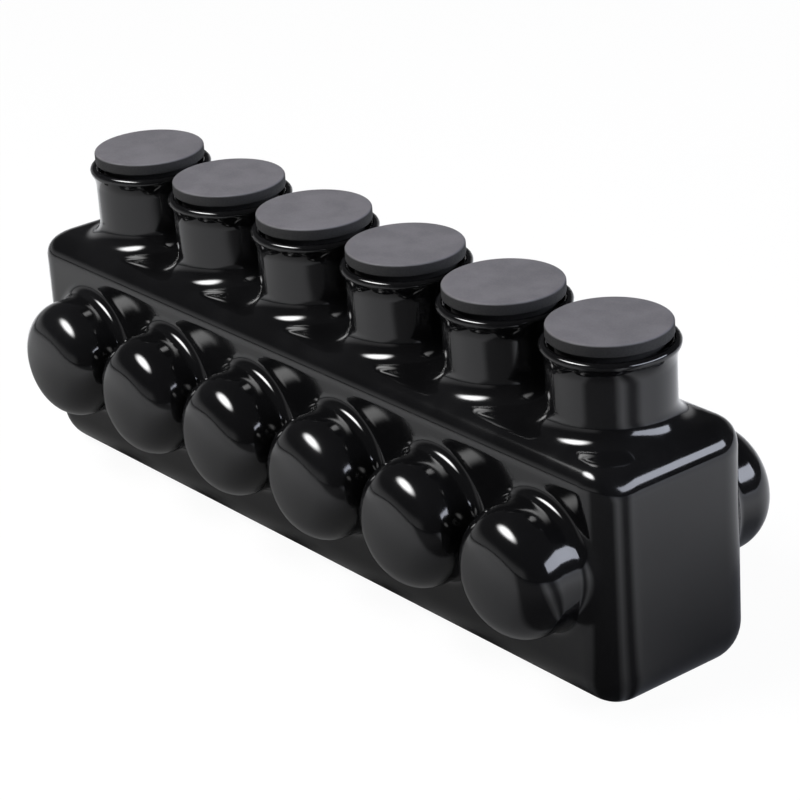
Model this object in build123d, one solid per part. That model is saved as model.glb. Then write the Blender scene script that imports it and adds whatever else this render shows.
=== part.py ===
from build123d import *
import math
import os

# Insulated multi-tap connector for six cables, with an opening for each cable on both sides.
# All sizes are in millimetres. The origin is at the middle of the foot of the body, +X runs along
# the row of ports, -Y is the front and +Z is up, towards the access plugs.

# Row of ports
port_count = 6
cable_bore_radius = 9.1
bore_mouth_chamfer = 0.6

# Body of the insulation
body_width = 33.2
skin_wall = 2.6
upright_edge_radius = 6.8
bottom_edge_radius = 6.7
top_edge_radius = 6.0
bond_gap = 0.03

# Closed domes over the cable openings
dome_wall = 2.3
dome_reach = 12.4
dome_front_corner = 6.9
dome_crown_rise = 0.5
dome_foot_radius = 1.5
dome_hollow_chamfer = 3.0

# Wall of the body left plain around the feet of the domes
between_domes = 0.2
below_domes = 5.1
above_domes = 0.6
beyond_far_dome = 6.9
beyond_near_dome = 3.3

# Clamp screws
screw_radius = 8.7
screw_length = 12.5
screw_chamfer = 0.8
screw_clearance = 0.06
socket_width = 7.94
socket_depth = 6.0
socket_chamfer = 0.4

# Open collars over the clamp screws
screw_well_clearance = 0.4
collar_wall = 1.7
collar_foot_radius = 2.2
collar_foot_sink = 0.05
flare_radius = 9.0
flare_angle = 31.0

# Access plugs in the collars
plug_disc_inset = 0.25
plug_disc_thickness = 2.2
plug_disc_edge = 0.25
plug_stand_off = 0.6
plug_shoulder_spread = 0.4
plug_shoulder_length = 1.6
plug_stem_length = 8.0
plug_stem_chamfer = 0.8
plug_clearance = 0.06
screw_to_plug_gap = 5.5

# Domes and row, worked out from the values above
dome_radius = cable_bore_radius + dome_wall
dome_foot_reach = dome_radius + dome_foot_radius
port_pitch = 2 * dome_foot_reach + between_domes
row_length = (port_count - 1) * port_pitch
body_length = beyond_far_dome + 2 * dome_foot_reach + row_length + beyond_near_dome
row_offset = (beyond_far_dome - beyond_near_dome) / 2
port_places = [row_offset - row_length / 2 + i * port_pitch for i in range(port_count)]

# Heights of the cable axis and the body
dome_height = bottom_edge_radius + below_domes + dome_foot_reach
body_height = dome_height + dome_foot_reach + above_domes + top_edge_radius
front_face = body_width / 2
port_crown = dome_height + cable_bore_radius

# Collars and plugs
collar_bore_radius = screw_radius + screw_well_clearance
collar_radius = collar_bore_radius + collar_wall
plug_disc_radius = collar_radius - plug_disc_inset
plug_shoulder_radius = collar_bore_radius + plug_shoulder_spread
plug_disc_bottom = port_crown + screw_length + screw_to_plug_gap + plug_stem_length
collar_top = plug_disc_bottom - plug_stand_off

# Depth that joined shapes share, and how near an edge must be to count as a foot
overlap = skin_wall / 2
foot_tolerance = 0.01


def rounded_block(length, width, bottom, top, upright_radius, bottom_radius, top_radius):
    """A block with rounded edges, standing between two heights."""
    block = Pos(0, 0, (bottom + top) / 2) * Box(length, width, top - bottom)
    block = fillet(block.edges().filter_by(Axis.Z), upright_radius)
    block = fillet(block.faces().sort_by(Axis.Z)[-1].edges(), top_radius)
    return fillet(block.faces().sort_by(Axis.Z)[0].edges(), bottom_radius)


def turned(outline):
    """A solid of revolution about +Z from a closed outline of edges in the XZ plane."""
    return revolve(make_face(outline), Axis.Z)


def arc_about(centre, radius, start, end):
    """An arc in the XZ plane about a centre, from one angle to another, in degrees from +X."""
    middle = math.radians((start + end) / 2)
    points = [
        (centre[0] + radius * math.cos(a), 0, centre[1] + radius * math.sin(a))
        for a in (math.radians(start), middle, math.radians(end))
    ]
    return ThreePointArc(*points)


def line_between(first, second):
    """A straight edge in the XZ plane."""
    return Line((first[0], 0, first[1]), (second[0], 0, second[1]))


def crown_arcs(radius, reach, corner, crown_rise):
    """The rounded front of a dome: a corner arc at the shoulder and a flatter arc to the axis."""
    shoulder = reach - corner - crown_rise
    rise = corner + crown_rise
    front = (radius**2 - 2 * radius * corner + rise**2) / (2 * crown_rise)
    lean = math.degrees(math.atan2(front - rise, radius - corner))
    corner_arc = arc_about((radius - corner, shoulder), corner, 0, lean)
    front_arc = arc_about((0, reach - front), front, lean, 90)
    return [corner_arc, front_arc]


def bulb(radius, root, reach, corner, crown_rise):
    """A round bar with a domed front, along +Z from its root."""
    sides = [
        line_between((0, reach), (0, root)),
        line_between((0, root), (radius, root)),
        line_between((radius, root), (radius, reach - corner - crown_rise)),
    ]
    return turned(crown_arcs(radius, reach, corner, crown_rise) + sides)


def is_dome_foot(edge):
    """True for an edge where a dome grows out of the front or back of the body."""
    middle = edge @ 0.5
    off_axis = [math.hypot(middle.X - x, middle.Z - dome_height) for x in port_places]
    on_a_dome = min(abs(off - dome_radius) for off in off_axis) < foot_tolerance
    return on_a_dome and abs(middle.Y) < front_face + foot_tolerance


def collar():
    """One open collar with a flared lip, standing on the top of the body."""
    foot_centre = (collar_radius + collar_foot_radius, body_height + collar_foot_radius - collar_foot_sink)
    foot_start = (foot_centre[0], body_height - collar_foot_sink)
    half_wall = collar_wall / 2
    middle = collar_radius - half_wall
    rise = flare_radius * math.sin(math.radians(flare_angle))
    flare_centre = (middle + flare_radius, collar_top - half_wall - rise)
    lip = (
        middle + flare_radius * (1 - math.cos(math.radians(flare_angle))),
        collar_top - half_wall,
    )
    root = body_height - overlap
    outline = [
        arc_about(foot_centre, collar_foot_radius, 270, 180),
        line_between((collar_radius, foot_centre[1]), (collar_radius, flare_centre[1])),
        arc_about(flare_centre, flare_radius - half_wall, 180, 180 - flare_angle),
        arc_about(lip, half_wall, -flare_angle, 180 - flare_angle),
        arc_about(flare_centre, flare_radius + half_wall, 180 - flare_angle, 180),
        line_between((collar_bore_radius, flare_centre[1]), (collar_bore_radius, root)),
        line_between((collar_bore_radius, root), (foot_start[0], root)),
        line_between((foot_start[0], root), foot_start),
    ]
    return turned(outline)


def connector_bar(gap):
    """The metal bar, grown by a gap all round when it is used as the hollow of the insulation."""
    wall = skin_wall - gap
    return rounded_block(
        body_length - 2 * wall,
        body_width - 2 * wall,
        wall,
        body_height - wall,
        upright_edge_radius - wall,
        bottom_edge_radius - wall,
        top_edge_radius - wall,
    )


def facing(side):
    """Turns a dome's axis from +Z to the front, -1, or to the back, +1."""
    return Rot(-90 * side, 0, 0)


def insulation_jacket():
    """The one-piece insulation: body, domes and collars, hollow for the bar, cables and screws."""
    block = rounded_block(
        body_length,
        body_width,
        0,
        body_height,
        upright_edge_radius,
        bottom_edge_radius,
        top_edge_radius,
    )
    solid_dome = bulb(dome_radius, -overlap, dome_reach, dome_front_corner, dome_crown_rise)
    hollow = Cylinder(
        cable_bore_radius,
        dome_reach + overlap,
        align=(Align.CENTER, Align.CENTER, Align.MIN),
    )
    hollow = Pos(0, 0, -skin_wall - overlap) * chamfer(hollow.edges().sort_by(Axis.Z)[-1], dome_hollow_chamfer)
    rim = collar()
    screw_way = Cylinder(collar_bore_radius, body_height, align=(Align.CENTER, Align.CENTER, Align.MIN))
    domes = []
    cut = [connector_bar(bond_gap)]
    for x in port_places:
        cut.append(Pos(x, 0, dome_height) * screw_way)
        for side in (-1, 1):
            place = Pos(x, side * front_face, dome_height) * facing(side)
            domes.append(place * solid_dome)
            cut.append(place * hollow)
    body = block.fuse(*domes)
    body = fillet(body.edges().filter_by(is_dome_foot), dome_foot_radius)
    return body.fuse(*[Pos(x, 0, 0) * rim for x in port_places]).cut(*cut)


def drilled_bar():
    """The bar with a cable bore through it for each port and a screw hole down into each bore."""
    bar = connector_bar(0)
    bar_face = front_face - skin_wall
    bore = Rot(90, 0, 0) * Cylinder(cable_bore_radius, body_width)
    mouth = Cone(
        cable_bore_radius,
        cable_bore_radius + bore_mouth_chamfer,
        bore_mouth_chamfer,
        align=(Align.CENTER, Align.CENTER, Align.MAX),
    )
    hole = Cylinder(
        screw_radius + screw_clearance,
        body_height - dome_height,
        align=(Align.CENTER, Align.CENTER, Align.MIN),
    )
    cut = []
    for x in port_places:
        cut.append(Pos(x, 0, dome_height) * bore)
        cut.append(Pos(x, 0, dome_height) * hole)
        for side in (-1, 1):
            cut.append(Pos(x, side * bar_face, dome_height) * facing(side) * mouth)
    return bar.cut(*cut)


def clamp_screw():
    """One headless screw with a hexagon socket, backed out until its tip is level with the bore."""
    body = Cylinder(screw_radius, screw_length, align=(Align.CENTER, Align.CENTER, Align.MIN))
    body = chamfer(body.edges(), screw_chamfer)
    socket_radius = socket_width / math.sqrt(3)
    socket = extrude(RegularPolygon(socket_radius, 6), socket_depth)
    lead_in = Cone(
        socket_radius - socket_chamfer,
        socket_radius + socket_chamfer,
        2 * socket_chamfer,
    )
    body = body - Pos(0, 0, screw_length - socket_depth) * socket - Pos(0, 0, screw_length) * lead_in
    return Pos(0, 0, port_crown) * body


def access_plug():
    """One plug: a flat disc over a shoulder in the flared mouth and a stem down the collar."""
    low = (Align.CENTER, Align.CENTER, Align.MIN)
    high = (Align.CENTER, Align.CENTER, Align.MAX)
    disc = Cylinder(plug_disc_radius, plug_disc_thickness, align=low)
    disc = fillet(disc.edges(), plug_disc_edge)
    stem_radius = collar_bore_radius - plug_clearance
    shoulder = Cone(stem_radius, plug_shoulder_radius, plug_shoulder_length, align=high)
    stem = Cylinder(stem_radius, plug_stem_length, align=high)
    stem = chamfer(stem.edges().sort_by(Axis.Z)[0], plug_stem_chamfer)
    return Pos(0, 0, plug_disc_bottom) * (disc + shoulder + stem)


os.makedirs("parts", exist_ok=True)
export_step(insulation_jacket(), "parts/insulation_jacket.step")
export_step(drilled_bar(), "parts/connector_bar.step")
screw = clamp_screw()
plug = access_plug()
for i, x in enumerate(port_places):
    export_step(Pos(x, 0, 0) * screw, f"parts/clamp_screw_{i + 1}.step")
    export_step(Pos(x, 0, 0) * plug, f"parts/access_plug_{i + 1}.step")
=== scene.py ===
import math
import bpy
import numpy as np
from mathutils import Matrix, Vector


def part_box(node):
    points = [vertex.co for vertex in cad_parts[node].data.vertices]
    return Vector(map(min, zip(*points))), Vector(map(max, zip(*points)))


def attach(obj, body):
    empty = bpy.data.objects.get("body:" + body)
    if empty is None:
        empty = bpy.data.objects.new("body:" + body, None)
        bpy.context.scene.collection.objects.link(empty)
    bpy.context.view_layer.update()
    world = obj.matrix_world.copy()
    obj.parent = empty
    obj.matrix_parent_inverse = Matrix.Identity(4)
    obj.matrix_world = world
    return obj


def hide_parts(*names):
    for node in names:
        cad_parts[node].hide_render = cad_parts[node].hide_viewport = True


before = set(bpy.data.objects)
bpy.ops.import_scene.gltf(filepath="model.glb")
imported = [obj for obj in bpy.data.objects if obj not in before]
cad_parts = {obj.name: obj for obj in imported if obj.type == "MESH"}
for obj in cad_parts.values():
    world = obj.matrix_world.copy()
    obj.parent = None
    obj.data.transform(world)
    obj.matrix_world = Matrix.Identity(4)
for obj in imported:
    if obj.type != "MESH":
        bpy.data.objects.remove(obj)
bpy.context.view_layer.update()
print("frame loaded")

mm = 0.001
portCount = 6


def middleOf(node):  # centre of a CAD node's box, in metres
    low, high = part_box(node)
    return (low + high) / 2


def addObject(name, data):
    thing = bpy.data.objects.new(name, data)
    bpy.context.scene.collection.objects.link(thing)
    return thing


jacketLow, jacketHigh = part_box("insulation_jacket")
plugNames = [f"access_plug_{i + 1}" for i in range(portCount)]
screwNames = [f"clamp_screw_{i + 1}" for i in range(portCount)]
portPlaces = [middleOf(name).x / mm for name in plugNames]  # along the row, in mm

# the jacket, in mm
bodyWidth = 33.2
jacketSizes = {
    "length": (jacketHigh.x - jacketLow.x) / mm,
    "width": bodyWidth,
    "height": 44.2,
    "wall": 2.6,
    "uprightEdge": 7.2,
    "bottomEdge": 7.6,
    "topEdge": 4.2,
    "topEndEdge": 5.4,
    "domeHeight": 24.7,
    "domeRadius": 11.4,
    "domeReach": (jacketHigh.y - jacketLow.y) / mm / 2 - bodyWidth / 2,
    "domeWall": 2.3,
    "domeFrontCorner": 6.9,
    "domeShoulder": 5.0,
    "domeFoot": 2.3,
    "domeBlend": 1.0,
    "cableBore": 9.1,
    "collarRadius": 10.8,
    "collarWall": 1.7,
    "collarTop": jacketHigh.z / mm,
    "collarFoot": 4.2,
    "collarBlend": 3.0,
    "flareRadius": 6.0,
    "flareAngle": 32.0,
    "innerEdge": 0.5,
}

# the grid that the jacket is sampled on, in mm
samplingSizes = {
    "step": 0.78,
    "fineStep": 0.55,
    "margin": 1.5,
    "footMargin": 1.3,
    "neckBand": 4.5,
    "lipBand": 1.0,
    "slopeStep": 0.02,
    "leastSlope": 0.05,
    "longestMove": 0.4,
    "rounds": 4,
    "mostTriangles": 188000,
}
farAway = 1000.0  # where there is no next port


def roundInside(a, b, radius):  # where two solids meet, with a rounded corner
    u = np.maximum(a + radius, 0)
    v = np.maximum(b + radius, 0)
    return np.minimum(-radius, np.maximum(a, b)) + np.hypot(u, v)


def roundJoin(a, b, radius):  # two solids joined, with a hollow fillet between them
    u = np.maximum(radius - a, 0)
    v = np.maximum(radius - b, 0)
    return np.maximum(radius, np.minimum(a, b)) - np.hypot(u, v)


def softMin(a, b, width):
    h = np.maximum(width - np.abs(a - b), 0) / width
    return np.minimum(a, b) - h * h * width / 4


def blockField(x, y, z, s):
    pastEnd = np.abs(x) - s["length"] / 2
    pastFace = np.abs(y) - s["width"] / 2
    side = roundInside(pastEnd, pastFace, s["uprightEdge"])
    # the top edge is rounder at the two ends than along the front and the back
    share = np.clip((pastEnd - pastFace) / s["uprightEdge"] + 0.5, 0, 1)
    share = share * share * (3 - 2 * share)
    topEdge = s["topEdge"] + (s["topEndEdge"] - s["topEdge"]) * share
    topped = roundInside(side, z - s["height"], topEdge)
    return roundInside(topped, -z, s["bottomEdge"])


def domeField(x, y, z, s):  # one dome at x = 0, front and back alike
    rho = np.hypot(x, z - s["domeHeight"])
    out = np.abs(y) - s["width"] / 2
    radius, corner, shoulder = s["domeRadius"], s["domeFrontCorner"], s["domeShoulder"]
    rise = s["domeReach"] - shoulder
    crown = (radius**2 - 2 * radius * corner + rise**2) / (2 * (rise - corner))
    crownOut = s["domeReach"] - crown
    onCrown = np.hypot(rho, out - crownOut) - crown
    onCorner = np.hypot(np.maximum(rho - radius + corner, 0), out - shoulder) - corner
    slope = (radius - corner) / (shoulder - crownOut)
    front = np.where(rho < slope * (out - crownOut), onCrown, onCorner)
    return np.where(out > shoulder, front, rho - radius)


def collarField(x, y, z, s):  # the wall of one collar at x = 0, with its flared lip
    rho = np.hypot(x, y)
    half = s["collarWall"] / 2
    middle = s["collarRadius"] - half
    lean = math.radians(s["flareAngle"])
    rise = s["flareRadius"] * math.sin(lean)
    base = s["collarTop"] - half - rise
    across = middle + s["flareRadius"] - rho
    up = z - base
    angle = np.arctan2(up, across)
    lipAcross = s["flareRadius"] * math.cos(lean)
    onArc = np.abs(np.hypot(across, up) - s["flareRadius"])
    onEnd = np.hypot(across - lipAcross, up - rise)
    onWall = np.abs(rho - middle)
    return np.where(up < 0, onWall, np.where(angle < lean, onArc, onEnd)) - half


def portFields(x, y, z, s):  # domes, collars and hollows of the nearest port and the next one
    places = np.array(portPlaces)
    nearest = np.round((x - places[0]) / (places[1] - places[0]))
    nearest = np.clip(nearest, 0, portCount - 1).astype(int)
    offset = x - places[nearest]
    step = np.where(offset > 0, 1, -1)
    other = nearest + step
    exists = (other >= 0) & (other < portCount)
    beside = np.where(exists, x - places[np.clip(other, 0, portCount - 1)], farAway)
    domes = softMin(domeField(offset, y, z, s), domeField(beside, y, z, s), s["domeBlend"])
    collars = softMin(collarField(offset, y, z, s), collarField(beside, y, z, s), s["collarBlend"])
    bore = s["collarRadius"] - s["collarWall"]
    well = roundInside(np.hypot(offset, y) - bore, s["height"] / 2 - z, s["innerEdge"])
    cableRho = np.hypot(offset, z - s["domeHeight"])
    closed = np.abs(y) - s["width"] / 2 - s["domeReach"] + s["wall"]
    cable = roundInside(cableRho - s["cableBore"], closed, s["domeFrontCorner"] - s["domeWall"])
    return domes, collars, well, cable


def jacketField(x, y, z, s=jacketSizes):
    domes, collars, well, cable = portFields(x, y, z, s)
    standing = np.maximum(collars, s["height"] - s["wall"] / 2 - z)
    block = blockField(x, y, z, s)
    outside = roundJoin(block, standing, s["collarFoot"])
    outside = roundJoin(outside, domes, s["domeFoot"])
    hollow = np.minimum(block + s["wall"], np.minimum(well, cable))
    return roundInside(outside, -hollow, s["innerEdge"])


def gridLines(low, high, breaks, coarse, fine):  # sample places, finer between the breaks
    places = [low]
    while places[-1] < high:
        inFine = any(a - coarse < places[-1] < b for a, b in breaks)
        places.append(places[-1] + (fine if inFine else coarse))
    return np.array(places)


def surfaceNet(field, xs, ys, zs):
    # one vertex in each cell that the surface crosses, and a quad round each crossed edge
    shape = tuple(n - 1 for n in field.shape)
    total = np.zeros(shape + (3,))
    count = np.zeros(shape, int)
    inside = field < 0
    lines = (xs, ys, zs)
    crossed = []
    for axis in range(3):
        lower = [slice(None)] * 3
        upper = [slice(None)] * 3
        lower[axis] = slice(0, -1)
        upper[axis] = slice(1, None)
        a, b = field[tuple(lower)], field[tuple(upper)]
        cut = inside[tuple(lower)] != inside[tuple(upper)]
        at = np.argwhere(cut)
        t = a[cut] / (a[cut] - b[cut])
        points = np.stack([lines[k][at[:, k]] for k in range(3)], 1)
        step = lines[axis][at[:, axis] + 1] - lines[axis][at[:, axis]]
        points[:, axis] += t * step
        sides = [k for k in range(3) if k != axis]
        around = []
        for u, v in ((0, 0), (-1, 0), (-1, -1), (0, -1)):
            cell = at.copy()
            cell[:, sides[0]] += u
            cell[:, sides[1]] += v
            around.append(cell)
            good = np.all((cell >= 0) & (cell < np.array(shape)), 1)
            key = tuple(cell[good].T)
            np.add.at(total, key, points[good])
            np.add.at(count, key, 1)
        crossed.append((axis, around, inside[tuple(lower)][cut]))
    used = count > 0
    index = -np.ones(shape, int)
    index[used] = np.arange(used.sum())
    vertices = total[used] / count[used][:, None]
    faces = []
    for axis, around, startsInside in crossed:
        quad = np.stack([index[tuple(cell.T)] for cell in around], 1)
        turn = startsInside if axis != 1 else ~startsInside
        quad = np.where(turn[:, None], quad, quad[:, ::-1])
        faces.append(quad)
    return vertices, np.concatenate(faces)


def slopeOf(field, points):
    step = samplingSizes["slopeStep"]
    parts = []
    for k in range(3):
        shift = np.zeros(3)
        shift[k] = step
        ahead, behind = points + shift, points - shift
        parts.append((field(*ahead.T) - field(*behind.T)) / (2 * step))
    return np.stack(parts, 1)


def settle(field, points):  # moves each vertex onto the true surface
    g = samplingSizes
    for _ in range(g["rounds"]):
        slope = slopeOf(field, points)
        size = np.maximum((slope**2).sum(1), g["leastSlope"])
        move = np.clip(field(*points.T) / size, -g["longestMove"], g["longestMove"])
        points = points - move[:, None] * slope
    return points


def makeMesh(name, vertices, faces, normals=None):
    mesh = bpy.data.meshes.new(name)
    mesh.from_pydata((vertices * mm).tolist(), [], faces.tolist())
    mesh.update()
    mesh.shade_smooth()
    if normals is not None:
        mesh.normals_split_custom_set_from_vertices(normals.tolist())
    return addObject(name, mesh)


def thinOut(vertices, faces, mostTriangles):  # fewer, larger triangles where the surface is flat
    rough = makeMesh("roughSkin", vertices, faces)
    modifier = rough.modifiers.new("thinner", "DECIMATE")
    modifier.ratio = min(1.0, mostTriangles / (2 * len(faces)))
    graph = bpy.context.evaluated_depsgraph_get()
    thin = bpy.data.meshes.new_from_object(rough.evaluated_get(graph))
    thin.calc_loop_triangles()
    places = np.empty(len(thin.vertices) * 3)
    thin.vertices.foreach_get("co", places)
    corners = np.empty(len(thin.loop_triangles) * 3, int)
    thin.loop_triangles.foreach_get("vertices", corners)
    bpy.data.meshes.remove(thin)
    bpy.data.meshes.remove(rough.data)
    return places.reshape(-1, 3) / mm, corners.reshape(-1, 3)


def makeJacket():
    s = jacketSizes
    g = samplingSizes
    steps = (g["step"], g["fineStep"])
    end = s["length"] / 2
    face = s["width"] / 2
    reach = face + s["domeReach"]
    # finer where the domes grow out of the body and where the collars stand
    neckBands = [(-face - g["neckBand"], -face), (face, face + g["neckBand"])]
    collarBand = [(s["height"], s["collarTop"] + g["lipBand"])]
    xs = gridLines(-end - g["margin"], end + g["margin"], [], *steps)
    ys = gridLines(-reach - g["margin"], reach + g["margin"], neckBands, *steps)
    zs = gridLines(-g["footMargin"], s["collarTop"] + g["margin"], collarBand, *steps)
    field = jacketField(*np.meshgrid(xs, ys, zs, indexing="ij"))
    vertices, faces = surfaceNet(field, xs, ys, zs)
    vertices, faces = thinOut(settle(jacketField, vertices), faces, g["mostTriangles"])
    vertices = settle(jacketField, vertices)
    slope = slopeOf(jacketField, vertices)
    normals = slope / np.linalg.norm(slope, axis=1)[:, None]
    jacket = makeMesh("jacketSkin", vertices, faces, normals)
    print("jacket skin made,", len(faces), "triangles")
    return jacket


# camera, in pitches of the row from the far plug's top, turned into metres
cameraView = {
    "place": (17.642, -11.428, 7.033),
    "right": (0.63098, 0.77333, -0.0618),
    "up": (-0.27685, 0.29887, 0.91325),
    "back": (0.72472, -0.55914, 0.40268),
    "focalPixels": 2970.7,
    "imagePixels": 800,
    "sensorWidth": 36.0,
    "clipStart": 0.01,
}


def makeCamera():
    view = cameraView
    pitch = portPlaces[1] - portPlaces[0]
    farTop = Vector((portPlaces[0], 0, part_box(plugNames[0])[1].z / mm))
    place = (farTop + Vector(view["place"]) * pitch) * mm
    turn = Matrix([view["right"], view["up"], view["back"]]).transposed()
    data = bpy.data.cameras.new("camera")
    data.lens = view["focalPixels"] / view["imagePixels"] * view["sensorWidth"]
    data.sensor_width = view["sensorWidth"]
    data.clip_start = view["clipStart"]
    camera = addObject("camera", data)
    camera.matrix_world = Matrix.Translation(place) @ turn.to_4x4()
    bpy.context.scene.camera = camera


def keyValues(node, values):  # sets a node's inputs by name
    for name, value in values.items():
        node.inputs[name].default_value = value


def startMaterial(name, values):
    material = bpy.data.materials.new(name)
    material.use_nodes = True
    shader = material.node_tree.nodes["Principled BSDF"]
    keyValues(shader, values)
    return material, material.node_tree, shader


def addNode(tree, kind, values=None, **settings):
    node = tree.nodes.new(kind)
    for key, value in settings.items():
        setattr(node, key, value)
    keyValues(node, values or {})
    return node


def addNoise(tree, place, size, detail):  # size of the spots in mm
    values = {"Scale": 1 / (size * mm), "Detail": detail, "Roughness": 0.55}
    noise = addNode(tree, "ShaderNodeTexNoise", values)
    tree.links.new(place, noise.inputs["Vector"])
    return noise.outputs["Fac"]


def addRange(tree, value, start, end, toLow=0.0, toHigh=1.0):
    values = {"From Min": start, "From Max": end, "To Min": toLow, "To Max": toHigh}
    node = addNode(tree, "ShaderNodeMapRange", values, interpolation_type="SMOOTHSTEP")
    tree.links.new(value, node.inputs["Value"])
    return node.outputs["Result"]


def addVector(tree, operation, first, second=None):  # a vector sum, with fixed or linked inputs
    node = addNode(tree, "ShaderNodeVectorMath", operation=operation)
    tree.links.new(first, node.inputs[0])
    if second is not None:
        node.inputs[1].default_value = second
    return node.outputs["Value" if operation in ("LENGTH", "DOT_PRODUCT") else "Vector"]


def addBump(tree, height, size, before=None):  # size of the relief in mm
    bump = addNode(tree, "ShaderNodeBump", {"Distance": size * mm, "Strength": 1.0})
    tree.links.new(height, bump.inputs["Height"])
    if before is not None:
        tree.links.new(before, bump.inputs["Normal"])
    return bump.outputs["Normal"]


def mixColour(tree, factor, first, second):
    mix = addNode(tree, "ShaderNodeMix", data_type="RGBA")
    tree.links.new(factor, mix.inputs["Factor"])
    for socket, colour in ((mix.inputs[6], first), (mix.inputs[7], second)):
        if isinstance(colour, tuple):
            socket.default_value = (*colour, 1)
        else:
            tree.links.new(colour, socket)
    return mix.outputs[2]


def finishShader(tree, shader, colour, roughness, normal):
    for name, value in (("Base Color", colour), ("Roughness", roughness), ("Normal", normal)):
        tree.links.new(value, shader.inputs[name])


# glossy moulded vinyl of the jacket
vinylLook = {
    "colour": (0.0035, 0.0035, 0.0038),
    "hazeColour": (0.005, 0.005, 0.0054),
    "roughness": 0.09,
    "hazeRoughness": 0.13,
    "hazeSize": 14.0,
    "hazeRange": (0.42, 0.68),
    "waveSize": 9.0,
    "waveHeight": 0.006,
    "peelSize": 0.8,
    "peelHeight": 0.0012,
}


def glossVinyl():
    look = vinylLook
    material, tree, shader = startMaterial("glossVinyl", {"IOR": 1.5})
    place = addNode(tree, "ShaderNodeTexCoord").outputs["Object"]
    haze = addRange(tree, addNoise(tree, place, look["hazeSize"], 4.0), *look["hazeRange"])
    colour = mixColour(tree, haze, look["colour"], look["hazeColour"])
    roughness = addRange(tree, haze, 0.0, 1.0, look["roughness"], look["hazeRoughness"])
    wave = addNoise(tree, place, look["waveSize"], 1.0)
    peel = addNoise(tree, place, look["peelSize"], 2.0)
    normal = addBump(tree, peel, look["peelHeight"], addBump(tree, wave, look["waveHeight"]))
    finishShader(tree, shader, colour, roughness, normal)
    return material


# matte rubber of the access plugs, grained, paler on the top face; the sides are painted much darker
# as painted shade
rubberLook = {
    "topColour": (0.14, 0.134, 0.145),
    "topShade": (0.112, 0.108, 0.117),
    # the colour of the sides is painted shade, far darker than the top
    "paintedShadeSide": (0.011, 0.0108, 0.0113),
    "topBand": (0.35, 0.03),
    "roughness": (0.64, 0.78),
    "grainSize": 0.35,
    "grainHeight": 0.012,
    "mottleSize": 5.0,
    "mottleRange": (0.3, 0.7),
    "grainRange": (0.3, 0.7),
}


def matteRubber(topHeight):
    look = rubberLook
    material, tree, shader = startMaterial("matteRubber", {"IOR": 1.45})
    place = addNode(tree, "ShaderNodeTexCoord").outputs["Object"]
    mottle = addRange(tree, addNoise(tree, place, look["mottleSize"], 4.0), *look["mottleRange"])
    top = mixColour(tree, mottle, look["topColour"], look["topShade"])
    height = addNode(tree, "ShaderNodeSeparateXYZ")
    tree.links.new(place, height.inputs["Vector"])
    band = [topHeight - below * mm for below in look["topBand"]]
    onTop = addRange(tree, height.outputs["Z"], *band)
    # the sides take a far darker colour than the top: painted shade
    colour = mixColour(tree, onTop, look["paintedShadeSide"], top)
    grain = addNoise(tree, place, look["grainSize"], 3.0)
    roughness = addRange(tree, grain, *look["grainRange"], *look["roughness"])
    finishShader(tree, shader, colour, roughness, addBump(tree, grain, look["grainHeight"]))
    return material


def stainedColour(tree, stain, look):
    dull = tuple(c * look["dullShare"] for c in look["colour"])
    return mixColour(tree, addRange(tree, stain, *look["stainRange"]), look["colour"], dull)


# turned aluminium of the clamp screws, with rings left by the tool
screwLook = {
    "colour": (0.72, 0.73, 0.745),
    "dullShare": 0.82,
    "stainSize": 3.0,
    "stainRange": (0.35, 0.7),
    "roughRange": (0.3, 0.7),
    "roughness": (0.24, 0.4),
    "ringPitch": 0.12,
    "ringHeight": 0.004,
}


def turnedAluminium():
    look = screwLook
    material, tree, shader = startMaterial("turnedAluminium", {"Metallic": 1.0})
    place = addNode(tree, "ShaderNodeTexCoord").outputs["Object"]
    turned = addNode(tree, "ShaderNodeAttribute", attribute_name="turnedPlace").outputs["Vector"]
    rings = addNoise(tree, turned, look["ringPitch"], 1.0)
    stain = addNoise(tree, place, look["stainSize"], 4.0)
    roughness = addRange(tree, stain, *look["roughRange"], *look["roughness"])
    normal = addBump(tree, rings, look["ringHeight"])
    finishShader(tree, shader, stainedColour(tree, stain, look), roughness, normal)
    return material


# extruded aluminium of the bar, with fine lines along its length
barLook = {
    "colour": (0.78, 0.79, 0.8),
    "dullShare": 0.85,
    "stainSize": 12.0,
    "stainRange": (0.35, 0.7),
    "roughRange": (0.3, 0.7),
    "roughness": (0.28, 0.46),
    "lineWidth": 0.15,
    "lineLength": 40.0,
    "lineHeight": 0.006,
}


def extrudedAluminium():
    look = barLook
    material, tree, shader = startMaterial("extrudedAluminium", {"Metallic": 1.0})
    place = addNode(tree, "ShaderNodeTexCoord").outputs["Object"]
    stretched = addVector(tree, "MULTIPLY", place, (look["lineWidth"] / look["lineLength"], 1, 1))
    lines = addNoise(tree, stretched, look["lineWidth"], 2.0)
    stain = addNoise(tree, place, look["stainSize"], 4.0)
    roughness = addRange(tree, lines, *look["roughRange"], *look["roughness"])
    normal = addBump(tree, lines, look["lineHeight"])
    finishShader(tree, shader, stainedColour(tree, stain, look), roughness, normal)
    return material


# the form of a thread: how steep its sides are and how wide its root is, as shares of the depth
threadForm = {
    "slope": 1.3,
    "root": 0.12,
}
mergeDistance = 0.001 * mm
sharpAngle = math.radians(32)


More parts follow.
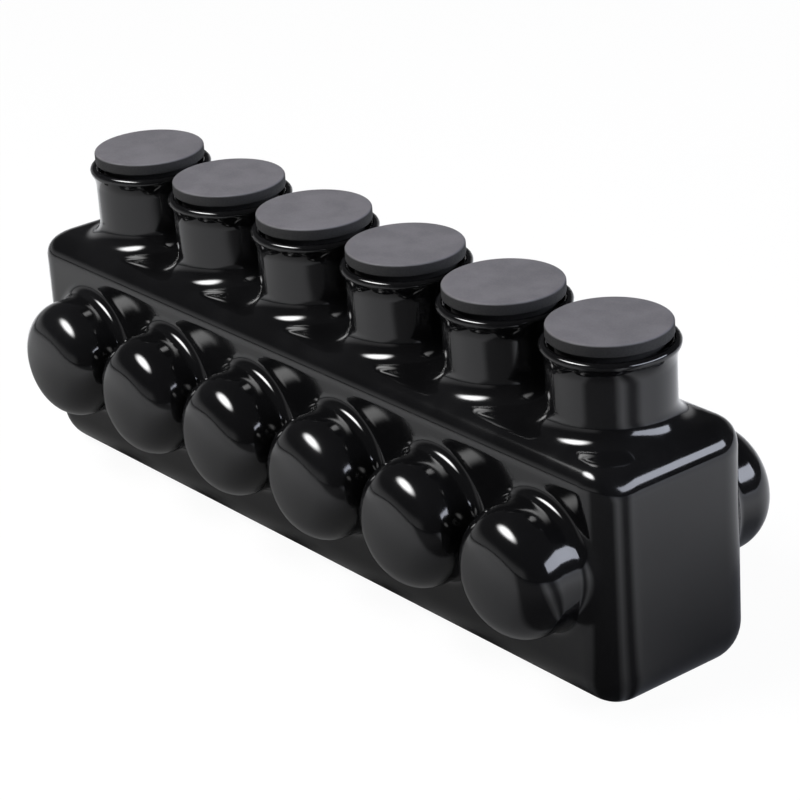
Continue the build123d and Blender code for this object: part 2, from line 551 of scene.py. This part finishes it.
def turningTree():
    # turns the object's own outline about +Z, cuts a thread into the rows marked threaded and
    # opens the rows marked hexagonal to a hexagon
    tree = bpy.data.node_groups.new("turnedPiece", "GeometryNodeTree")
    face = tree.interface
    face.new_socket("Geometry", in_out="INPUT", socket_type="NodeSocketGeometry")
    for name, kind in (
        ("Columns", "NodeSocketInt"),
        ("Thread Radius", "NodeSocketFloat"),
        ("Thread Pitch", "NodeSocketFloat"),
        ("Thread Depth", "NodeSocketFloat"),
        ("Hexagon Width", "NodeSocketFloat"),
        ("Place", "NodeSocketVector"),
        ("Material", "NodeSocketMaterial"),
    ):
        face.new_socket(name, in_out="INPUT", socket_type=kind)
    face.new_socket("Geometry", in_out="OUTPUT", socket_type="NodeSocketGeometry")
    links = tree.links
    start = addNode(tree, "NodeGroupInput").outputs
    end = addNode(tree, "NodeGroupOutput")

    def compute(operation, first, second=None):
        node = addNode(tree, "ShaderNodeMath", operation=operation)
        for socket, value in zip(node.inputs, (first, second)):
            if isinstance(value, (int, float)):
                socket.default_value = value
            elif value is not None:
                links.new(value, socket)
        return node.outputs[0]

    size = addNode(tree, "GeometryNodeAttributeDomainSize", component="MESH")
    links.new(start["Geometry"], size.inputs[0])
    rows = size.outputs["Point Count"]
    sheet = addNode(tree, "GeometryNodeMeshGrid", {"Size X": 1.0, "Size Y": 1.0})
    links.new(compute("ADD", start["Columns"], 1), sheet.inputs["Vertices X"])
    links.new(rows, sheet.inputs["Vertices Y"])
    spot = addNode(tree, "ShaderNodeSeparateXYZ")
    links.new(addNode(tree, "GeometryNodeInputPosition").outputs[0], spot.inputs[0])
    share = compute("ADD", spot.outputs["X"], 0.5)
    angle = compute("MULTIPLY", share, 2 * math.pi)
    rowShare = compute("ADD", spot.outputs["Y"], 0.5)
    row = compute("ROUND", compute("MULTIPLY", rowShare, compute("SUBTRACT", rows, 1)))

    def rowValue(kind, value):
        pick = addNode(tree, "GeometryNodeSampleIndex", data_type=kind, domain="POINT")
        links.new(start["Geometry"], pick.inputs["Geometry"])
        links.new(value, pick.inputs["Value"])
        links.new(row, pick.inputs["Index"])
        return pick.outputs[0]

    def rowMark(name):
        mark = addNode(tree, "GeometryNodeInputNamedAttribute", {"Name": name}, data_type="FLOAT")
        return rowValue("FLOAT", mark.outputs[0])

    outline = addNode(tree, "ShaderNodeSeparateXYZ")
    own = addNode(tree, "GeometryNodeInputPosition").outputs[0]
    links.new(rowValue("FLOAT_VECTOR", own), outline.inputs[0])
    radius, height = outline.outputs["X"], outline.outputs["Z"]

    phase = compute("SUBTRACT", compute("DIVIDE", height, start["Thread Pitch"]), share)
    saw = compute("SUBTRACT", compute("MULTIPLY", compute("FRACT", phase), 2), 1)
    ridge = compute("MULTIPLY", compute("ABSOLUTE", saw), threadForm["slope"])
    ridge = compute("SUBTRACT", ridge, threadForm["root"])
    ridge = compute("MINIMUM", compute("MAXIMUM", ridge, 0), 1)
    cut = compute("MULTIPLY", compute("SUBTRACT", 1, ridge), start["Thread Depth"])
    threaded = compute("MINIMUM", radius, compute("SUBTRACT", start["Thread Radius"], cut))

    sixth = math.pi / 3
    side = compute("SUBTRACT", compute("MODULO", angle, sixth), sixth / 2)
    flat = compute("DIVIDE", compute("DIVIDE", start["Hexagon Width"], 2), compute("COSINE", side))
    hexagonal = compute("MAXIMUM", radius, flat)

    def choose(mark, plain, changed):
        node = addNode(tree, "ShaderNodeMix", data_type="FLOAT")
        links.new(mark, node.inputs["Factor"])
        links.new(plain, node.inputs[2])
        links.new(changed, node.inputs[3])
        return node.outputs[0]

    radius = choose(rowMark("threaded"), radius, threaded)
    radius = choose(rowMark("hexagonal"), radius, hexagonal)
    point = addNode(tree, "ShaderNodeCombineXYZ")
    links.new(compute("MULTIPLY", radius, compute("COSINE", angle)), point.inputs["X"])
    links.new(compute("MULTIPLY", radius, compute("SINE", angle)), point.inputs["Y"])
    links.new(height, point.inputs["Z"])

    along = addNode(tree, "ShaderNodeCombineXYZ")
    links.new(radius, along.inputs["X"])
    links.new(height, along.inputs["Z"])
    kind = {"data_type": "FLOAT_VECTOR", "domain": "POINT"}
    keep = addNode(tree, "GeometryNodeStoreNamedAttribute", {"Name": "turnedPlace"}, **kind)
    links.new(along.outputs[0], keep.inputs["Value"])
    shape = addNode(tree, "GeometryNodeSetPosition")
    links.new(point.outputs[0], shape.inputs["Position"])
    closed = addNode(tree, "GeometryNodeMergeByDistance", {"Distance": mergeDistance})
    placed = addNode(tree, "GeometryNodeTransform")
    links.new(start["Place"], placed.inputs["Translation"])
    smooth = addNode(tree, "GeometryNodeSetShadeSmooth")
    finish = addNode(tree, "GeometryNodeSetMaterial")
    links.new(start["Material"], finish.inputs["Material"])
    geometry = sheet.outputs["Mesh"]
    for node in (keep, shape, closed, placed, smooth, finish):
        links.new(geometry, node.inputs["Geometry"])
        geometry = node.outputs[0]
    links.new(geometry, end.inputs["Geometry"])
    return tree


def turnPiece(name, tree, outline, values):
    # outline: radius, height, threaded, hexagonal for each row, in mm, from the bottom centre
    # up the outside to the top centre
    line = bpy.data.meshes.new(name + "Outline")
    points = [(r * mm, 0, z * mm) for r, z, _, _ in outline]
    line.from_pydata(points, [(i, i + 1) for i in range(len(points) - 1)], [])
    for mark, column in (("threaded", 2), ("hexagonal", 3)):
        layer = line.attributes.new(mark, "FLOAT", "POINT")
        layer.data.foreach_set("value", [float(entry[column]) for entry in outline])
    source = addObject(name + "Outline", line)
    modifier = source.modifiers.new("turning", "NODES")
    modifier.node_group = tree
    for item in tree.interface.items_tree:
        if item.in_out == "INPUT" and item.name in values:
            modifier[item.identifier] = values[item.name]
    bpy.context.view_layer.update()
    graph = bpy.context.evaluated_depsgraph_get()
    mesh = bpy.data.meshes.new_from_object(source.evaluated_get(graph), depsgraph=graph)
    bpy.data.objects.remove(source)
    mesh.name = name
    mesh.set_sharp_from_angle(angle=sharpAngle)
    return addObject(name, mesh)


def roundCorner(centre, radius, start, end, count):  # rows round a corner, in degrees
    rows = []
    for i in range(count + 1):
        angle = math.radians(start + (end - start) * i / count)
        rows.append((centre[0] + radius * math.cos(angle), centre[1] + radius * math.sin(angle), 0, 0))
    return rows


# one access plug, in mm, with heights from the underside of its disc
plugSizes = {
    "stemRadius": 9.04,
    "stemLength": 8.0,
    "stemChamfer": 0.8,
    "shoulderRadius": 9.5,
    "shoulderLength": 1.6,
    "discRadius": 10.55,
    "discThickness": 2.2,
    "topEdge": 0.4,
    "lowEdge": 0.25,
    "topRings": (0.9, 0.6, 0.3, 0),
    "columns": 96,
}


def plugOutline():
    s = plugSizes
    disc, thick, top, low = s["discRadius"], s["discThickness"], s["topEdge"], s["lowEdge"]
    outline = [
        (0, -s["stemLength"], 0, 0),
        (s["stemRadius"] - s["stemChamfer"], -s["stemLength"], 0, 0),
        (s["stemRadius"], -s["stemLength"] + s["stemChamfer"], 0, 0),
        (s["stemRadius"], -s["shoulderLength"], 0, 0),
        (s["shoulderRadius"], 0, 0, 0),
    ]
    outline += roundCorner((disc - low, low), low, -90, 0, 4)
    outline += roundCorner((disc - top, thick - top), top, 0, 90, 6)
    outline += [((disc - top) * share, thick, 0, 0) for share in s["topRings"]]
    return outline


# one clamp screw, in mm, with heights from its tip
screwLow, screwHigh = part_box(screwNames[0])
screwSizes = {
    "radius": 8.7,
    "length": (screwHigh.z - screwLow.z) / mm,
    "chamfer": 0.8,
    "pitch": 1.5,
    "threadDepth": 0.8,
    "socketWidth": 7.94,
    "socketDepth": 6.0,
    "leadIn": 0.45,
    "leadInStep": 0.15,
    "leadInRows": 8,
    "floorRadius": 0.1,
    "drillRadius": 2.4,
    "drillCone": 1.0,
    "row": 0.17,
    "columns": 72,
}


def screwOutline():
    s = screwSizes
    outline = [(0, 0, 0, 0)]
    rows = round(s["length"] / s["row"])
    for i in range(rows + 1):
        z = s["length"] * i / rows
        radius = s["radius"] - max(s["chamfer"] - min(z, s["length"] - z), 0)
        outline.append((radius, z, 1, 0))
    cone = s["socketWidth"] / math.sqrt(3) + s["leadIn"]
    for i in range(s["leadInRows"]):
        step = s["leadInStep"] * i
        outline.append((cone - step, s["length"] - step, 0, 1))
    floor = s["length"] - s["socketDepth"]
    outline += [(s["floorRadius"], floor, 0, 1), (s["drillRadius"], floor, 0, 0)]
    outline += [(0, floor - s["drillCone"], 0, 0)]
    return outline


def makeTurned():
    s = screwSizes
    tree = turningTree()
    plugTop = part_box(plugNames[0])[1].z
    underDisc = plugTop - plugSizes["discThickness"] * mm
    rubber = matteRubber(plugTop)
    aluminium = turnedAluminium()
    for i, x in enumerate(portPlaces):
        values = {
            "Columns": plugSizes["columns"],
            "Place": (x * mm, 0, underDisc),
            "Material": rubber,
        }
        plug = turnPiece(f"rubberPlug{i + 1}", tree, plugOutline(), values)
        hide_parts(plugNames[i])
        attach(plug, f"plug_{i + 1}")
        values = {
            "Columns": s["columns"],
            "Thread Radius": s["radius"] * mm,
            "Thread Pitch": s["pitch"] * mm,
            "Thread Depth": s["threadDepth"] * mm,
            "Hexagon Width": s["socketWidth"] * mm,
            "Place": (x * mm, 0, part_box(screwNames[i])[0].z),
            "Material": aluminium,
        }
        screw = turnPiece(f"setScrew{i + 1}", tree, screwOutline(), values)
        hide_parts(screwNames[i])
        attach(screw, f"screw_{i + 1}")
    faceCounts = [len(thing.data.polygons) for thing in (plug, screw)]
    print("plugs and screws made, faces each:", *faceCounts)


# a long key softbox in front on the left, in metres
keyPanel = {
    "place": (-0.13, -0.3, 0.478),
    "along": (0.92, -0.39, 0.06),
    "target": (0, 0, 0.03),
    "size": (0.58, 0.23),
    "radiance": 22.0,
    "colour": (1, 1, 1),
    "core": 0.3,
}

# a cooler window past the near end, placed by its direction in degrees and its distance in metres
windowPanel = {
    "azimuth": 24.0,
    "height": 24.0,
    "away": 0.9,
    "target": (0.07, 0, 0.03),
    "size": (1.1, 0.3),
    "radiance": 6.5,
    "colour": (0.83, 0.87, 1.0),
    "core": 1.0,
}

# the rest of the studio, in metres, and directions in degrees
studio = {
    "panelFade": 0.65,
    "powerPerArea": 4.0,
    "lowSky": (0.5, 0.5, 0.51),
    "highSky": (0.05, 0.05, 0.053),
    "skyFrom": 0.06,
    "skyTo": 0.3,
    "seenSky": (1.0, 1.0, 1.0),
    "darkSide": 15.0,
    "darkFull": 0.3,
    "darkNone": -0.05,
    # painted shadow on the floor beside the foot, seen only in reflections
    "shadowedNearFloor": (0.28, 0.28, 0.28),
    "farFloor": (0.72, 0.72, 0.72),
    "plainFloor": (0.5, 0.5, 0.5),
    "floorFade": 0.1,
    "floorShadow": 0.1,
    "floorGlow": 1.06,
    "floorSize": 4.0,
}

# painted light and shade on the floor that the vinyl mirrors, by direction from the near corner, in
# degrees
paintedFloorLevels = (
    (-100, 0.85),
    (-88, 0.2),
    (-38, 0.2),
    (-23, 1.6),
    (-8, 0.3),
    (0, 0.3),
    (15, 1.7),
    (40, 1.4),
)


def addPanel(name, panel, place, along):
    data = bpy.data.lights.new(name, "AREA")
    data.shape = "RECTANGLE"
    data.size, data.size_y = panel["size"]
    data.energy = panel["radiance"] * studio["powerPerArea"] * data.size * data.size_y
    data.color = panel["colour"]
    # a panel is evenly bright in its core and fades from there on
    data.use_nodes = True
    tree = data.node_tree
    spot = addNode(tree, "ShaderNodeNewGeometry").outputs["Parametric"]
    across = addVector(tree, "SUBTRACT", spot, (0.5, 0.5, 0))
    away = addVector(tree, "LENGTH", addVector(tree, "MULTIPLY", across, (2, 2, 0)))
    level = addRange(tree, away, panel["core"], panel["core"] + studio["panelFade"], 1.0, 0.0)
    tree.links.new(level, tree.nodes["Emission"].inputs["Strength"])
    lamp = addObject(name, data)
    back = (Vector(place) - Vector(panel["target"])).normalized()
    side = Vector(along)
    side = (side - side.dot(back) * back).normalized()
    turn = Matrix([side, back.cross(side), back]).transposed()
    lamp.matrix_world = Matrix.Translation(place) @ turn.to_4x4()
    lamp.visible_camera = False


def makeWorld():
    s = studio
    world = bpy.data.worlds.new("studio")
    bpy.context.scene.world = world
    world.use_nodes = True
    tree = world.node_tree
    background = tree.nodes["Background"]
    direction = addNode(tree, "ShaderNodeTexCoord").outputs["Generated"]
    split = addNode(tree, "ShaderNodeSeparateXYZ")
    tree.links.new(direction, split.inputs[0])
    up = addRange(tree, split.outputs["Z"], s["skyFrom"], s["skyTo"])
    # the low sky is dark on one side, past the near end
    side = math.radians(s["darkSide"])
    towards = addVector(tree, "DOT_PRODUCT", direction, (math.cos(side), math.sin(side), 0))
    lit = addRange(tree, towards, s["darkFull"], s["darkNone"])
    low = mixColour(tree, lit, s["highSky"], s["lowSky"])
    sky = mixColour(tree, up, low, s["highSky"])
    seen = addNode(tree, "ShaderNodeLightPath").outputs["Is Camera Ray"]
    tree.links.new(mixColour(tree, seen, sky, s["seenSky"]), background.inputs["Color"])


def floorShade(tree):
    # painted shadow beside the foot, and painted light and shade by the direction from the near corner
    place = addNode(tree, "ShaderNodeTexCoord").outputs["Object"]
    foot = (jacketHigh.x, jacketHigh.y / 2, 0)
    beyond = addVector(tree, "SUBTRACT", addVector(tree, "ABSOLUTE", place), foot)
    away = addVector(tree, "LENGTH", addVector(tree, "MAXIMUM", beyond, (0, 0, 0)))
    near = addRange(tree, away, 0.0, studio["floorFade"])
    near = mixColour(tree, near, studio["shadowedNearFloor"], studio["farFloor"])
    inset = jacketSizes["uprightEdge"] * mm
    cornerPlace = (jacketHigh.x - inset, inset - bodyWidth / 2 * mm, 0)
    split = addNode(tree, "ShaderNodeSeparateXYZ")
    tree.links.new(addVector(tree, "SUBTRACT", place, cornerPlace), split.inputs[0])
    bearing = addNode(tree, "ShaderNodeMath", operation="ARCTAN2")
    tree.links.new(split.outputs["Y"], bearing.inputs[0])
    tree.links.new(split.outputs["X"], bearing.inputs[1])
    turn = addNode(tree, "ShaderNodeMapRange", {"From Min": -math.pi, "From Max": math.pi})
    tree.links.new(bearing.outputs[0], turn.inputs["Value"])
    ramp = addNode(tree, "ShaderNodeValToRGB")
    tree.links.new(turn.outputs[0], ramp.inputs[0])
    stops = ramp.color_ramp.elements
    stops.remove(stops[1])
    for degrees, level in paintedFloorLevels:
        stops.new(degrees / 360 + 0.5).color = (level, level, level, 1)
    stops.remove(stops[0])
    shade = addNode(tree, "ShaderNodeMix", {"Factor": 1.0}, data_type="RGBA", blend_type="MULTIPLY")
    tree.links.new(near, shade.inputs[6])
    tree.links.new(ramp.outputs["Color"], shade.inputs[7])
    return shade.outputs[2]


def makeFloor():
    half = studio["floorSize"] / 2
    corners = [(-half, -half, 0), (half, -half, 0), (half, half, 0), (-half, half, 0)]
    mesh = bpy.data.meshes.new("floor")
    mesh.from_pydata(corners, [], [(0, 1, 2, 3)])
    floor = addObject("floor", mesh)
    values = {"Roughness": 1.0, "Specular IOR Level": 0.0}
    material, tree, shader = startMaterial("paleFloor", values)
    # to the camera the floor is plain and nearly white, with a faint shadow
    seen = addNode(tree, "ShaderNodeLightPath").outputs["Is Camera Ray"]
    colour = mixColour(tree, seen, floorShade(tree), studio["plainFloor"])
    tree.links.new(colour, shader.inputs["Base Color"])
    glow = addNode(tree, "ShaderNodeEmission", {"Strength": studio["floorGlow"]})
    share = addNode(tree, "ShaderNodeMath", operation="MULTIPLY")
    tree.links.new(seen, share.inputs[0])
    share.inputs[1].default_value = 1 - studio["floorShadow"]
    blend = addNode(tree, "ShaderNodeMixShader")
    for i, source in enumerate((share, shader, glow)):
        tree.links.new(source.outputs[0], blend.inputs[i])
    tree.links.new(blend.outputs[0], tree.nodes["Material Output"].inputs["Surface"])
    mesh.materials.append(material)


def makeLights():
    addPanel("keySoftbox", keyPanel, keyPanel["place"], keyPanel["along"])
    window = windowPanel
    azimuth, height = math.radians(window["azimuth"]), math.radians(window["height"])
    level = math.cos(height)
    way = Vector((level * math.cos(azimuth), level * math.sin(azimuth), math.sin(height)))
    place = Vector(window["target"]) + way * window["away"]
    addPanel("window", window, place, (-math.sin(azimuth), math.cos(azimuth), 0))


makeCamera()
jacket = makeJacket()
jacket.data.materials.append(glossVinyl())
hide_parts("insulation_jacket")
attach(jacket, "insulated_bar")
makeTurned()
barMetal = extrudedAluminium()
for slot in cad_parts["connector_bar"].material_slots:
    slot.material = barMetal

makeWorld()
makeFloor()
makeLights()
bpy.context.scene.view_settings.view_transform = "Standard"
print("studio made")
